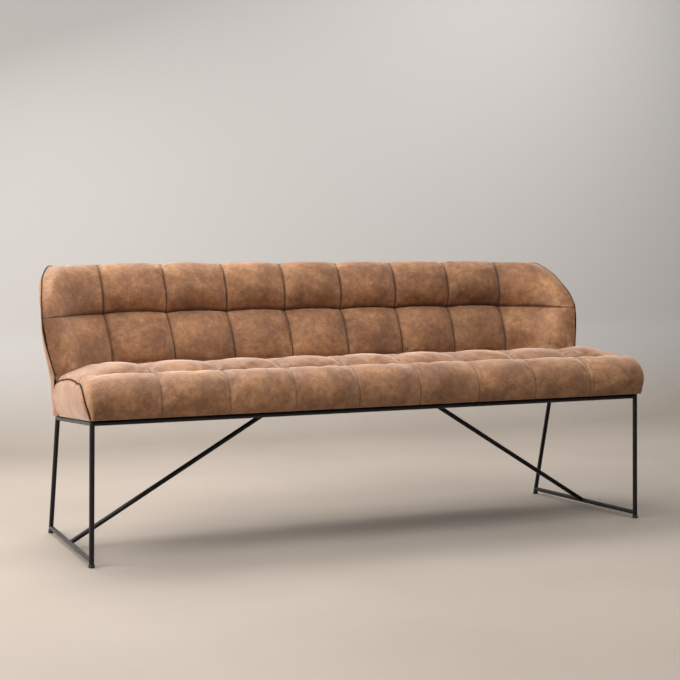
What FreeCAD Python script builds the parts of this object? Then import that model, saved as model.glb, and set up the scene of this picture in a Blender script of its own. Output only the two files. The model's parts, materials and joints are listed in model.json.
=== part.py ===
# Upholstered dining bench. A welded frame of round steel bar carries a timber seat with a quilted cover,
# and a moulded plywood back that curls forward at both ends, also with a quilted cover.
# Millimetres, X along the bench, Y to the back, +Z up, origin on the floor under the middle.
import FreeCAD, Part
import math
import os

V = FreeCAD.Vector

# Steel frame, with depths measured back from the front feet
bar_diameter = 14.0
top_half_span = 849.0
foot_splay = 7.0
front_top_lead = 17.0
rear_top_depth = 484.0
rear_foot_splay = 127.0
front_top_height = 384.5
frame_drop = 21.5
floor_bar_height = 18.0
cross_bar_share = 0.3192
brace_top_share = 0.5
brace_foot_share = 0.5

# Plastic glides under the legs
glide_height = 9.0
glide_diameter = 17.0
glide_chamfer = 1.5
spigot_diameter = 5.0
spigot_length = 8.0
spigot_clearance = 0.1

# Tabs, bolts, washers and tee nuts that hold the seat on the frame
tab_length = 34.0
tab_reach = 28.0
tab_thickness = 4.0
tab_depth_shares = (0.25, 0.78)
bolt_diameter = 6.0
bolt_clearance = 0.3
bolt_head_diameter = 11.0
bolt_head_height = 3.5
washer_diameter = 12.5
washer_thickness = 1.6
tee_flange_diameter = 20.0
tee_flange_thickness = 1.5
tee_barrel_diameter = 8.0
tee_barrel_length = 12.0

# Seat: heights are measured square to the plane on top of the bars
seat_clearance = 0.2
soft_clearance = 0.3
dust_cover_thickness = 1.2
timber_height = 38.0
timber_width = 50.0
slat_width = 60.0
strap_thickness = 2.0
strap_width = 60.0
strap_inset = 6.0
seat_foam_thickness = 42.0
timber_front_lead = 10.0
seat_overhang = 14.0
side_cover_thickness = 6.0
rear_corner_chamfer = 62.0

# Quilting of the seat: the front roll first, then rows behind it
column_count = 9
row_pitch_share = 0.37924
front_seam_depth = 76.0
seam_height = 113.0
seat_fall = 9.0
seam_swell = 11.0
pillow_rise = 3.0
pillow_swell = 28.0
front_lead = 24.0
front_swell = 9.0
pillow_front_lead = 28.0
pillow_front_swell = 13.0
front_shoulder_share = 0.66
pillow_shoulder_share = 0.71
shoulder_swell = 24.0
pillow_shoulder_swell = 30.0

# End of the seat, where its quilting meets the flat side cover
end_front_lead = 19.0
end_seam_height = 89.0
end_top_height = 107.0
end_swell = 7.0
end_fall = 12.0
end_shoulder_depth = 30.0
end_shoulder_height = 52.0
core_bevel = 38.0
core_end_setback = 95.0
core_end_margin = 16.0

# Back: a leaning frame of its own, whose origin is on the seam across the middle
back_lean = 16.0
back_setback = 78.0
back_seam_rise = 285.0
back_overhang = 16.75
back_thickness = 58.0
outer_cover_thickness = 5.0
shell_thickness = 16.0
back_foam_thickness = 22.0
roll_low_height = 165.0
roll_low_lead = 30.0
lower_swell = 18.0
upper_swell = 28.0
top_swell = 17.0
back_pillow_swell = 14.0
back_pillow_rise = 4.0
top_height = 167.0
top_front_lead = 8.0
rear_drop = 14.0
core_top_drop = 28.0
skirt_margin = 20.75

# Ears: the end columns of the back, curled forward
ear_radius = 161.0
ear_low_radius = 137.0
ear_angle = 66.0
ear_straight = 34.0
ear_tip_length = 28.0
ear_corner_radius = 215.0
ear_corner_lead = 148.0
ear_least_roll = 40.0
ear_arc_shares = (0.38, 0.68, 0.9)
ear_swell_shares = (0.75, 0.8, 0.45)
ear_flatten_share = 0.25
arc_point_shares = (0, 0.5, 1)
tip_length_shares = (0.65, 1.0)
tip_lead_share = 0.4
tip_inset_shares = (0.12, 0.29)
box_corner_radius = 70.0
box_side_length = 80.0
box_drop = 146.5
flare_height = 60.0

# Screws between the back shell and the rear rail of the seat
screw_diameter = 6.0
screw_length = 50.0
screw_head_diameter = 12.0
screw_head_height = 3.0
screw_offset_shares = (0.12, 0.4, 0.68, 0.94)

overrun = 20.0

# Values worked out from the sizes above
bar_radius = bar_diameter / 2
foot_half_span = top_half_span + foot_splay
rear_foot_depth = rear_top_depth + rear_foot_splay
rear_top_height = front_top_height - frame_drop
cross_bar_offset = cross_bar_share * top_half_span
frame_run = rear_top_depth + front_top_lead
seat_slope = math.degrees(math.atan2(frame_drop, frame_run))
frame_depth = math.hypot(frame_run, frame_drop)
timber_base = seat_clearance + dust_cover_thickness
timber_top = timber_base + timber_height
foam_base = timber_top + strap_thickness
foam_top = foam_base + seat_foam_thickness
seat_half_length = top_half_span + seat_overhang
core_half_length = seat_half_length - side_cover_thickness
seat_pitch = 2 * core_half_length / column_count
row_pitch = row_pitch_share * frame_run
back_seam_depth = rear_top_depth + back_setback
back_seam_height = front_top_height + back_seam_rise
back_pitch = 2 * (seat_half_length + back_overhang) / column_count
outer_cover_face = back_thickness - outer_cover_thickness
shell_face = outer_cover_face - shell_thickness
back_foam_face = shell_face - back_foam_thickness
last_seat_seam = (column_count / 2 - 1) * seat_pitch
last_back_seam = (column_count / 2 - 1) * back_pitch
skirt_half_length = last_back_seam + skirt_margin
ear_turn = math.radians(ear_angle)
corner_centre_depth = ear_corner_radius - ear_corner_lead
corner_centre_height = top_height - ear_corner_radius
reach = 2 * seat_half_length
half_rise = back_seam_rise + box_drop
front_reach = -front_top_lead - pillow_front_lead - pillow_front_swell
lean_sine = math.sin(math.radians(back_lean))
lean_cosine = math.cos(math.radians(back_lean))
rear_reach = back_seam_depth + back_thickness * lean_cosine + (top_height - rear_drop) * lean_sine
middle_depth = (front_reach + rear_reach) / 2

slope_sine = math.sin(math.radians(seat_slope))
slope_cosine = math.cos(math.radians(seat_slope))
seat_origin = V(0, -front_top_lead + bar_radius * slope_sine, front_top_height + bar_radius * slope_cosine)
back_origin = V(0, back_seam_depth, back_seam_height)
x_axis = V(1, 0, 0)
z_axis = V(0, 0, 1)
seat_pose = FreeCAD.Placement(seat_origin, FreeCAD.Rotation(x_axis, -seat_slope))
back_pose = FreeCAD.Placement(back_origin, FreeCAD.Rotation(x_axis, -back_lean))
sides = {"left": -1, "right": 1}


def posed(shape, pose):
    """A copy of a shape that was drawn in the seat's or the back's own frame, put in its place."""
    moved = shape.copy()
    moved.Placement = pose.multiply(moved.Placement)
    return moved


def block(low, high):
    """A box between two corners."""
    return Part.makeBox(high.x - low.x, high.y - low.y, high.z - low.z, low)


def fused(shapes):
    """One solid from shapes that meet face to face."""
    return shapes[0].multiFuse(shapes[1:]).removeSplitter()


def prism(points, direction):
    """A straight solid over a closed outline of points."""
    return Part.Face(Part.makePolygon(points + points[:1])).extrude(direction)


def bar(start, end):
    """A round bar between two points on its axis."""
    run = end - start
    return Part.makeCylinder(bar_radius, run.Length, start, run)


def seat_depth_of(back_depth, height):
    """Depth in the seat's frame, at a height there, of a plane square to the back's depth."""
    turn = math.radians(back_lean - seat_slope)
    offset = seat_pose.inverse().multVec(back_origin)
    rise = (height - offset.z + back_depth * math.sin(turn)) / math.cos(turn)
    return offset.y + back_depth * math.cos(turn) + rise * math.sin(turn)


def above_seat(height):
    """All the space above a height in the seat's frame."""
    return posed(block(V(-reach, -reach, height), V(reach, reach, reach)), seat_pose)


def below_seat(height):
    """All the space below a height in the seat's frame."""
    return posed(block(V(-reach, -reach, -reach), V(reach, reach, height)), seat_pose)


def behind_back(depth):
    """All the space behind a depth in the back's frame."""
    return posed(block(V(-reach, depth, -reach), V(reach, reach, reach)), back_pose)


def lofted(sections):
    """A smooth solid through closed outlines, each a list of edges in the same order."""
    return Part.makeLoft([Part.Wire(edges) for edges in sections], True, False)


def line(start, end):
    """A straight edge."""
    return Part.LineSegment(start, end).toShape()


def swell(start, end, amount, place):
    """An arc between two flat points, swelling to the left of the way from start to end, put in space."""
    run_a = end[0] - start[0]
    run_b = end[1] - start[1]
    length = math.hypot(run_a, run_b)
    middle_a = (start[0] + end[0]) / 2 - amount * run_b / length
    middle_b = (start[1] + end[1]) / 2 + amount * run_a / length
    return Part.Arc(place(*start), place(middle_a, middle_b), place(*end)).toShape()


def frame_bars():
    """The welded frame: legs run through, and every other bar is shaped to the bars that it meets."""
    bars = {}
    raw_legs = []
    front_tops = {}
    rear_tops = {}
    for name, side in sides.items():
        front_tops[name] = V(side * top_half_span, -front_top_lead, front_top_height)
        rear_tops[name] = V(side * top_half_span, rear_top_depth, rear_top_height)
        feet = {"front": V(side * foot_half_span, 0, 0), "rear": V(side * foot_half_span, rear_foot_depth, 0)}
        tops = {"front": front_tops[name], "rear": rear_tops[name]}
        legs = {}
        for end in feet:
            upward = (tops[end] - feet[end]).normalize() * overrun
            legs[end] = bar(feet[end] - upward, tops[end] + upward)
            below = block(V(-reach, -reach, -reach), V(reach, reach, glide_height))
            bars[f"{name}_{end}_leg"] = legs[end].cut(below).cut(above_seat(0))
        raw_legs += legs.values()
        floor_front = leg_axis_at(side, "front", floor_bar_height)
        floor_rear = leg_axis_at(side, "rear", floor_bar_height)
        floor_bar = bar(floor_front, floor_rear).cut(legs["front"]).cut(legs["rear"])
        bars[f"{name}_floor_bar"] = floor_bar
        top_bar = bar(front_tops[name], rear_tops[name]).cut(legs["front"]).cut(legs["rear"])
        bars[f"{name}_top_bar"] = top_bar
        brace_foot = floor_front + (floor_rear - floor_front) * brace_foot_share
        cross_front = V(side * cross_bar_offset, -front_top_lead, front_top_height)
        cross_rear = V(side * cross_bar_offset, rear_top_depth, rear_top_height)
        cross_bar = bar(cross_front, cross_rear)
        brace_top = cross_front + (cross_rear - cross_front) * brace_top_share
        bars[f"{name}_brace"] = bar(brace_foot, brace_top).cut(floor_bar).cut(cross_bar)
        bars[f"{name}_cross_bar"] = cross_bar
    for rail, tops in (("front_rail", front_tops), ("rear_rail", rear_tops)):
        whole = bar(tops["left"], tops["right"])
        for name in sides:
            bars[f"{name}_cross_bar"] = bars[f"{name}_cross_bar"].cut(whole)
        bars[rail] = whole
        for tool in raw_legs + [bars["left_top_bar"], bars["right_top_bar"]]:
            bars[rail] = bars[rail].cut(tool)
    return bars


def glide(foot):
    """A turned plastic foot with a spigot that stands in the bore of its leg."""
    base = Part.makeCylinder(glide_diameter / 2, glide_height, foot)
    rims = [edge for edge in base.Edges if edge.Closed and len(edge.Vertexes) == 1]
    base = base.makeChamfer(glide_chamfer, rims)
    spigot = Part.makeCylinder(spigot_diameter / 2, spigot_length, foot + V(0, 0, glide_height))
    return fused([base, spigot])


def leg_axis_at(side, end, height):
    """The point of a leg's axis at a height above the floor."""
    foot_depth = 0 if end == "front" else rear_foot_depth
    top_depth = -front_top_lead if end == "front" else rear_top_depth
    top_z = front_top_height if end == "front" else rear_top_height
    share = height / top_z
    span = foot_half_span + (top_half_span - foot_half_span) * share
    return V(side * span, foot_depth + (top_depth - foot_depth) * share, height)


def bolt_places():
    """Where the eight bolts pass, in the seat's frame: two on each top bar and each cross bar."""
    stand_off = bar_radius + tab_reach / 2
    columns = [-top_half_span + stand_off, -cross_bar_offset - stand_off]
    columns += [cross_bar_offset + stand_off, top_half_span - stand_off]
    return [V(x, share * frame_depth, 0) for x in columns for share in tab_depth_shares]


def tabs_and_bolts(bars):
    """Tabs with holes, and the bolts, washers and tee nuts along the same axes."""
    tabs = []
    bolts = []
    washers = []
    tee_nuts = []
    shank_length = tab_thickness + washer_thickness + timber_top
    for place in bolt_places():
        carrier = top_half_span if abs(place.x) > (top_half_span + cross_bar_offset) / 2 else cross_bar_offset
        carrier = math.copysign(carrier, place.x)
        far = 2 * place.x - carrier
        low_x = min(carrier, far)
        high_x = max(carrier, far)
        plate = block(V(low_x, place.y - tab_length / 2, -tab_thickness), V(high_x, place.y + tab_length / 2, 0))
        hole = Part.makeCylinder(bolt_diameter / 2 + bolt_clearance, 2 * overrun, place - V(0, 0, overrun))
        plate = posed(plate.cut(hole), seat_pose)
        owner = "top_bar" if abs(carrier) == top_half_span else "cross_bar"
        side = "left" if carrier < 0 else "right"
        tabs.append(plate.cut(bars[f"{side}_{owner}"]))
        under = place - V(0, 0, tab_thickness + washer_thickness)
        head = Part.makeCylinder(bolt_head_diameter / 2, bolt_head_height, under, -z_axis)
        shank = Part.makeCylinder(bolt_diameter / 2, shank_length, under)
        bolts.append(posed(fused([head, shank]), seat_pose))
        washer = Part.makeCylinder(washer_diameter / 2, washer_thickness, under)
        washer_bore = Part.makeCylinder(bolt_diameter / 2 + bolt_clearance, washer_thickness, under)
        washers.append(posed(washer.cut(washer_bore), seat_pose))
        flange_base = place + V(0, 0, timber_top - tee_flange_thickness)
        barrel_base = place + V(0, 0, timber_top - tee_flange_thickness - tee_barrel_length)
        flange = Part.makeCylinder(tee_flange_diameter / 2, tee_flange_thickness, flange_base)
        barrel = Part.makeCylinder(tee_barrel_diameter / 2, tee_barrel_length, barrel_base)
        bore_length = tee_barrel_length + tee_flange_thickness
        bore = Part.makeCylinder(bolt_diameter / 2 + bolt_clearance, bore_length, barrel_base)
        tee_nuts.append(posed(fused([flange, barrel]).cut(bore), seat_pose))
    return tabs, bolts, washers, tee_nuts


def fastener_holes():
    """The stepped holes that the bolts and tee nuts need in the dust cover and the timber."""
    holes = []
    for place in bolt_places():
        bolt = Part.makeCylinder(bolt_diameter / 2 + bolt_clearance, timber_top, place)
        barrel_base = place + V(0, 0, timber_top - tee_flange_thickness - tee_barrel_length)
        barrel = Part.makeCylinder(tee_barrel_diameter / 2 + bolt_clearance, tee_barrel_length, barrel_base)
        flange_base = place + V(0, 0, timber_top - tee_flange_thickness)
        flange = Part.makeCylinder(tee_flange_diameter / 2 + bolt_clearance, tee_flange_thickness, flange_base)
        holes.append(posed(fused([bolt, barrel, flange]), seat_pose))
    return Part.makeCompound(holes)


def seat_core(clearance):
    """The space of timber and foam under the quilting: bevelled along the front and set back at the ends."""
    front = -timber_front_lead - clearance
    top = foam_top + clearance
    rear = reach

    def outline(x, setback, bevel_height):
        low = V(x, front + setback * core_end_margin / core_end_setback, -overrun)
        shoulder = V(x, front + setback * bevel_height / foam_top, top - bevel_height)
        crown = V(x, front + setback + (0 if setback else core_bevel), top)
        return Part.makePolygon([low, shoulder, crown, V(x, rear, top), V(x, rear, -overrun), low])

    inner_x = last_seat_seam + seat_pitch / 2
    outer_x = core_half_length + overrun
    middle = Part.makeLoft([outline(-inner_x, 0, core_bevel), outline(inner_x, 0, core_bevel)], True, True)
    ends = []
    for side in sides.values():
        near = outline(side * inner_x, 0, core_bevel)
        far = outline(side * outer_x, core_end_setback, foam_top - end_shoulder_height)
        ends.append(Part.makeLoft([near, far], True, True))
    return posed(fused([middle] + ends), seat_pose)


def rear_corner_waste():
    """The two corners that the timber and foam leave to the rounded rear corners of the outer cover."""
    pieces = []
    for side in sides.values():
        corner = V(side * core_half_length, shell_face, -reach)
        inner = corner - V(side * rear_corner_chamfer, 0, 0)
        front = corner - V(0, rear_corner_chamfer, 0)
        past = V(side * overrun, overrun, 0)
        outline = [inner, front, front + V(past.x, 0, 0), corner + past, inner + V(0, past.y, 0)]
        pieces.append(posed(prism(outline, V(0, 0, 2 * reach)), back_pose))
    return Part.makeCompound(pieces)


def seat_inside(core, holes, waste):
    """Timber frame, straps, foam and dust cover, all trimmed by the core and by the back shell."""
    rear_depth = seat_depth_of(shell_face, 0)
    front = -timber_front_lead
    inner_x = core_half_length - timber_width
    far = rear_depth + overrun + timber_height

    def fitted(low, high):
        piece = posed(block(low, high), seat_pose).common(core)
        return piece.cut(behind_back(shell_face)).cut(waste).cut(holes)

    pieces = {}
    front_end = front + timber_width
    rear_start = rear_depth - timber_width
    span = V(core_half_length, 0, 0)
    low = V(0, 0, timber_base)
    high = V(0, 0, timber_top)
    pieces["seat_front_timber"] = fitted(low - span + V(0, front, 0), high + span + V(0, front_end, 0))
    for name, side in sides.items():
        edges = sorted([side * inner_x, side * core_half_length])
        pieces[f"seat_{name}_timber"] = fitted(V(edges[0], front_end, timber_base), V(edges[1], far, timber_top))
        middle = side * (cross_bar_offset + bar_radius + tab_reach / 2)
        slat_low = V(middle - slat_width / 2, front_end, timber_base)
        slat_high = V(middle + slat_width / 2, rear_start, timber_top)
        pieces[f"seat_{name}_slat"] = fitted(slat_low, slat_high)
    rear_low = V(-inner_x, rear_start, timber_base)
    pieces["seat_rear_timber"] = fitted(rear_low, V(inner_x, far, timber_top))
    straps = []
    strap_end = seat_depth_of(shell_face, timber_top) - strap_inset
    for column in range(column_count):
        middle = (column - (column_count - 1) / 2) * seat_pitch
        strap_low = V(middle - strap_width / 2, front + strap_inset, timber_top)
        strap_high = V(middle + strap_width / 2, strap_end, foam_base)
        straps.append(posed(block(strap_low, strap_high), seat_pose).common(core))
    pieces["webbing_straps"] = Part.makeCompound(straps)
    pieces["seat_foam"] = fitted(V(-core_half_length, front, foam_base), V(core_half_length, far, foam_top))
    dust_low = V(-core_half_length, front + strap_inset, seat_clearance)
    pieces["dust_cover"] = fitted(dust_low, V(core_half_length, far, timber_base))
    return pieces


def seat_section(x, lead, bow, shoulder, brow, seams, swells):
    """One outline across the seat: bottom edge, front, shoulder, two rows and a strip to the rear."""
    def place(depth, height):
        return V(x, depth, height)

    rear = seams[2][0] + row_pitch
    start = (-lead, seat_clearance)
    edges = [swell(start, shoulder, bow, place)]
    edges.append(swell(shoulder, seams[0], brow, place))
    edges.append(swell(seams[0], seams[1], swells[0], place))
    edges.append(swell(seams[1], seams[2], swells[1], place))
    last = (rear, seams[2][1])
    edges.append(line(place(*seams[2]), place(*last)))
    edges.append(line(place(*last), place(rear, seat_clearance)))
    edges.append(line(place(rear, seat_clearance), place(*start)))
    return edges


def seat_seams(heights):
    """The seams that run along the bench, one pitch apart behind the front roll."""
    return [(front_seam_depth + row * row_pitch, height) for row, height in enumerate(heights)]


def seam_section(x):
    """The seat's outline along a seam from front to back."""
    seams = seat_seams([seam_height - row * seat_fall / 2 for row in range(3)])
    shoulder = (-front_lead, front_shoulder_share * seam_height)
    return seat_section(x, front_lead, front_swell, shoulder, shoulder_swell, seams, (seam_swell, seam_swell))


def pillow_section(x):
    """The seat's outline through the middle of a column of squares."""
    seams = seat_seams([seam_height + pillow_rise - row * seat_fall / 2 for row in range(3)])
    shoulder = (-pillow_front_lead, pillow_shoulder_share * seam_height)
    swells = (pillow_swell, pillow_swell)
    brow = pillow_shoulder_swell
    return seat_section(x, pillow_front_lead, pillow_front_swell, shoulder, brow, seams, swells)


def end_section(x):
    """The seat's outline along the seam with the side cover, which leans back at the front."""
    seams = seat_seams([end_seam_height, end_top_height, end_top_height - end_fall])
    shoulder = (end_shoulder_depth, end_shoulder_height)
    return seat_section(x, end_front_lead, end_swell, shoulder, end_swell, seams, (end_swell, end_swell))


def seat_quilt(back_space):
    """The quilted seat cover with its wadding, one smooth column between each two seams."""
    columns = []
    seam_count = column_count - 1
    seam_places = [(row - (seam_count - 1) / 2) * seat_pitch for row in range(seam_count)]
    for left, right in zip(seam_places, seam_places[1:]):
        sections = [seam_section(left), pillow_section((left + right) / 2), seam_section(right)]
        columns.append(lofted(sections))
    for side in sides.values():
        near = side * last_seat_seam
        far = side * core_half_length
        columns.append(lofted([seam_section(near), pillow_section((near + far) / 2), end_section(far)]))
    body = posed(fused(columns), seat_pose)
    return body.cut(seat_core(soft_clearance)).cut(back_space)


def side_cover(side, back_space):
    """The flat cover on one end of the seat, with the outline of the quilting's end."""
    face = Part.Face(Part.Wire(end_section(side * core_half_length)))
    panel = posed(face.extrude(V(side * side_cover_thickness, 0, 0)), seat_pose)
    front_limit = back_thickness - box_corner_radius - box_side_length - soft_clearance
    return panel.cut(back_space).cut(behind_back(front_limit))


def ear_point(side, angle, straight, depth, height):
    """A point of an ear: an angle round its curl, a straight length past that, and a depth behind the seams.

    The curl tightens towards the seat, so the ears flare outwards as they rise."""
    radius = ear_radius + (ear_radius - ear_low_radius) * height / roll_low_height
    along = V(side * math.cos(angle), -math.sin(angle), 0)
    backward = V(side * math.sin(angle), math.cos(angle), 0)
    centre = V(side * last_back_seam, -radius, height)
    return centre + backward * (radius + depth) + along * straight


def corner_height(depth):
    """Height of the rounded top corner of an ear, seen from the side, at a depth in the back's frame."""
    offset = max(corner_centre_depth - depth, 0)
    return corner_centre_height + math.sqrt(max(ear_corner_radius ** 2 - offset ** 2, 0))


def back_section(place, low, middle, crown, rear, swells):
    """One outline across the back: lower roll, upper roll, the turn over the top and the plain rear."""
    base = -half_rise
    start = (low, base)
    knee = (low, -roll_low_height)
    edges = [line(place(*start), place(*knee))]
    edges.append(swell(knee, middle, -swells[0], place))
    edges.append(swell(middle, crown, -swells[1], place))
    edges.append(swell(crown, rear, -swells[2], place))
    edges.append(line(place(*rear), place(rear[0], base)))
    edges.append(line(place(rear[0], base), place(*start)))
    return edges


def straight_section(x, pillow):
    """The back's outline at a place along its straight part, on a seam or through a pillow."""
    def place(lead, height):
        return V(x, -lead, height)

    rise = back_pillow_rise if pillow else 0
    extra = back_pillow_swell if pillow else 0
    crown = (top_front_lead + rise, corner_height(-top_front_lead) + rise)
    rear = (-back_thickness, top_height - rear_drop)
    swells = (lower_swell + extra, upper_swell + extra, top_swell + rise)
    return back_section(place, roll_low_lead, (rise, 0), crown, rear, swells)


def ear_section(side, arc_share, straight, pillow_share, inset, lead_share):
    """The back's outline across an ear, part of the way round its curl and a straight length past it."""
    def place(lead, height):
        return ear_point(side, arc_share * ear_turn, straight, -lead, height)

    thickness = back_thickness + roll_low_lead
    low = roll_low_lead * lead_share - inset * thickness
    groove_lead = back_pillow_rise * pillow_share - inset * thickness
    lead = top_front_lead * lead_share - inset * thickness
    back = -back_thickness + inset * back_thickness
    crown_height = corner_height(place(lead, 0).y)
    rear_height = corner_height(place(back, 0).y) - rear_drop
    groove = (groove_lead, min(0, crown_height - ear_least_roll))
    share = lead_share * (crown_height - groove[1]) / corner_height(0)
    swells = (
        (lower_swell + back_pillow_swell * pillow_share) * lead_share,
        (upper_swell + back_pillow_swell * pillow_share) * share,
        top_swell * lead_share,
    )
    return back_section(place, low, groove, (lead, crown_height), (back, rear_height), swells)


def ear(side):
    """One curled end column of the quilting, with its rounded tip."""
    sections = [straight_section(side * last_back_seam, False)]
    for arc_share, swell_share in zip(ear_arc_shares, ear_swell_shares):
        sections.append(ear_section(side, arc_share, 0, swell_share, 0, 1 - arc_share * ear_flatten_share))
    sections.append(ear_section(side, 1, ear_straight, 0, 0, tip_lead_share))
    tips = [sections[-1]]
    for length_share, inset in zip(tip_length_shares, tip_inset_shares):
        straight = ear_straight + length_share * ear_tip_length
        tips.append(ear_section(side, 1, straight, 0, inset, tip_lead_share))
    return [lofted(sections), lofted(tips)]


def closed_plan(edge, front, rear):
    """A closed plan from a function that gives the arc and the tip of a line at each end of the bench."""
    rear_left, rear_left_tip = edge(rear, -1)
    rear_right, rear_right_tip = edge(rear, 1)
    front_left, front_left_tip = edge(front, -1)
    front_right, front_right_tip = edge(front, 1)
    edges = [line(rear_left_tip, rear_left[2]), Part.Arc(*reversed(rear_left)).toShape()]
    edges.append(line(rear_left[0], rear_right[0]))
    edges += [Part.Arc(*rear_right).toShape(), line(rear_right[2], rear_right_tip)]
    edges.append(line(rear_right_tip, front_right_tip))
    edges += [line(front_right_tip, front_right[2]), Part.Arc(*reversed(front_right)).toShape()]
    edges.append(line(front_right[0], front_left[0]))
    edges += [Part.Arc(*front_left).toShape(), line(front_left[2], front_left_tip)]
    edges.append(line(front_left_tip, rear_left_tip))
    return edges


def plan_outline(front, rear, height):
    """Closed plan of a layer of the back between two depths: straight, then curled forward at both ends."""
    def edge(depth, side):
        points = [ear_point(side, share * ear_turn, 0, depth, height) for share in arc_point_shares]
        return points, ear_point(side, ear_turn, ear_straight, depth, height)

    return closed_plan(edge, front, rear)


def box_outline(thickness, height):
    """Closed plan of the outer cover at the seat: a straight rear, small round corners and flat sides."""
    half_length = seat_half_length

    def edge(inset, side):
        radius = box_corner_radius - inset
        outer = half_length - inset
        centre = V(side * (half_length - box_corner_radius), back_thickness - box_corner_radius, height)
        diagonal = V(side, 1, 0).normalize()
        points = [centre + V(0, radius, 0), centre + diagonal * radius, centre + V(side * radius, 0, 0)]
        return points, V(side * outer, centre.y - box_side_length, height)

    return closed_plan(edge, thickness, 0)


def ear_corner_waste(clearance):
    """The space above the rounded top corners of the ears, for the layers under the quilting."""
    radius = ear_corner_radius - core_top_drop + clearance
    centre = V(-reach, corner_centre_depth, corner_centre_height)
    arc_points = []
    for angle in (math.pi, math.pi * 3 / 4, math.pi / 2):
        arc_points.append(centre + V(0, math.cos(angle), math.sin(angle)) * radius)
    start, middle, end = arc_points
    far_front = V(-reach, -reach, start.z)
    high_front = V(-reach, -reach, reach)
    high_rear = V(-reach, reach, reach)
    far_rear = V(-reach, reach, end.z)
    edges = [Part.Arc(start, middle, end).toShape(), line(end, far_rear), line(far_rear, high_rear)]
    edges += [line(high_rear, high_front), line(high_front, far_front), line(far_front, start)]
    return Part.Face(Part.Wire(edges)).extrude(V(2 * reach, 0, 0))


def back_layer(front, rear, clearance):
    """A curled layer of the back, as high as the quilting leaves it, still in the back's own frame."""
    low = Part.Wire(plan_outline(front, rear, -half_rise))
    high = Part.Wire(plan_outline(front, rear, half_rise))
    return Part.makeLoft([low, high], True, True).cut(ear_corner_waste(clearance))


def back_pieces():
    """Shell, foam, outer cover and quilting of the back."""
    pieces = {}
    seat_under = below_seat(foam_top + soft_clearance)
    bottom = below_seat(timber_base)
    curled = posed(back_layer(shell_face, outer_cover_face, 0), back_pose).cut(seat_under)
    skirt_low = V(-skirt_half_length, shell_face, -reach / 2)
    skirt = posed(block(skirt_low, V(skirt_half_length, outer_cover_face, 0)), back_pose)
    skirt = skirt.cut(bottom).cut(above_seat(foam_top + soft_clearance))
    pieces["back_shell"] = fused([curled, skirt])
    foam = posed(back_layer(back_foam_face, shell_face, 0), back_pose)
    pieces["back_foam"] = foam.cut(seat_under)

    low_plan = Part.Wire(box_outline(outer_cover_thickness, -half_rise))
    flare_plan = Part.Wire(plan_outline(outer_cover_face, back_thickness, -flare_height))
    flare = Part.makeLoft([low_plan, flare_plan], True, True)
    high_plan = Part.Wire(plan_outline(outer_cover_face, back_thickness, half_rise))
    upper = Part.makeLoft([flare_plan, high_plan], True, True).cut(ear_corner_waste(0))
    pieces["outer_back_cover"] = posed(fused([flare, upper]), back_pose).cut(bottom)

    columns = []
    seam_count = column_count - 1
    seam_places = [(row - (seam_count - 1) / 2) * back_pitch for row in range(seam_count)]
    for left, right in zip(seam_places, seam_places[1:]):
        middle = straight_section((left + right) / 2, True)
        columns.append(lofted([straight_section(left, False), middle, straight_section(right, False)]))
    for side in sides.values():
        columns += ear(side)
    rear_past = back_thickness + overrun
    core = back_layer(back_foam_face - soft_clearance, rear_past, soft_clearance)
    quilt = posed(fused(columns).cut(core), back_pose).cut(seat_under)
    pieces["back_quilt"] = quilt.cut(pieces["outer_back_cover"])
    return pieces


def back_space():
    """Everything behind the front of the back's lower roll, above the seat foam, with a clearance."""
    depth = -roll_low_lead - soft_clearance
    tip_length = ear_straight + ear_tip_length + soft_clearance

    def outline(height):
        arcs = {}
        tips = {}
        for side in (-1, 1):
            arcs[side] = [ear_point(side, share * ear_turn, 0, depth, height) for share in arc_point_shares]
            tips[side] = ear_point(side, ear_turn, tip_length, depth, height)
        left_far = V(-reach, tips[-1].y, height)
        right_far = V(reach, tips[1].y, height)
        left_rear = V(-reach, reach, height)
        right_rear = V(reach, reach, height)
        edges = [line(arcs[-1][0], arcs[1][0]), Part.Arc(*arcs[1]).toShape(), line(arcs[1][2], tips[1])]
        edges += [line(tips[1], right_far), line(right_far, right_rear), line(right_rear, left_rear)]
        edges += [line(left_rear, left_far), line(left_far, tips[-1]), line(tips[-1], arcs[-1][2])]
        edges.append(Part.Arc(*reversed(arcs[-1])).toShape())
        return Part.Wire(edges)

    solid = Part.makeLoft([outline(-half_rise), outline(half_rise)], True, True)
    return posed(solid, back_pose).cut(below_seat(foam_top))


def shell_screws():
    """Screws from the rear of the shell into the rear timber of the seat, and their holes."""
    screws = []
    height = (timber_base + timber_top) / 2
    axis = back_pose.Rotation.multVec(V(0, -1, 0))
    for share in screw_offset_shares:
        for side in sides.values():
            depth = seat_depth_of(outer_cover_face, height)
            start = seat_pose.multVec(V(side * share * skirt_half_length, depth, height))
            head = Part.makeCylinder(screw_head_diameter / 2, screw_head_height, start, axis)
            shank = Part.makeCylinder(screw_diameter / 2, screw_length, start, axis)
            screws.append(fused([head, shank]))
    return screws


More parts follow.
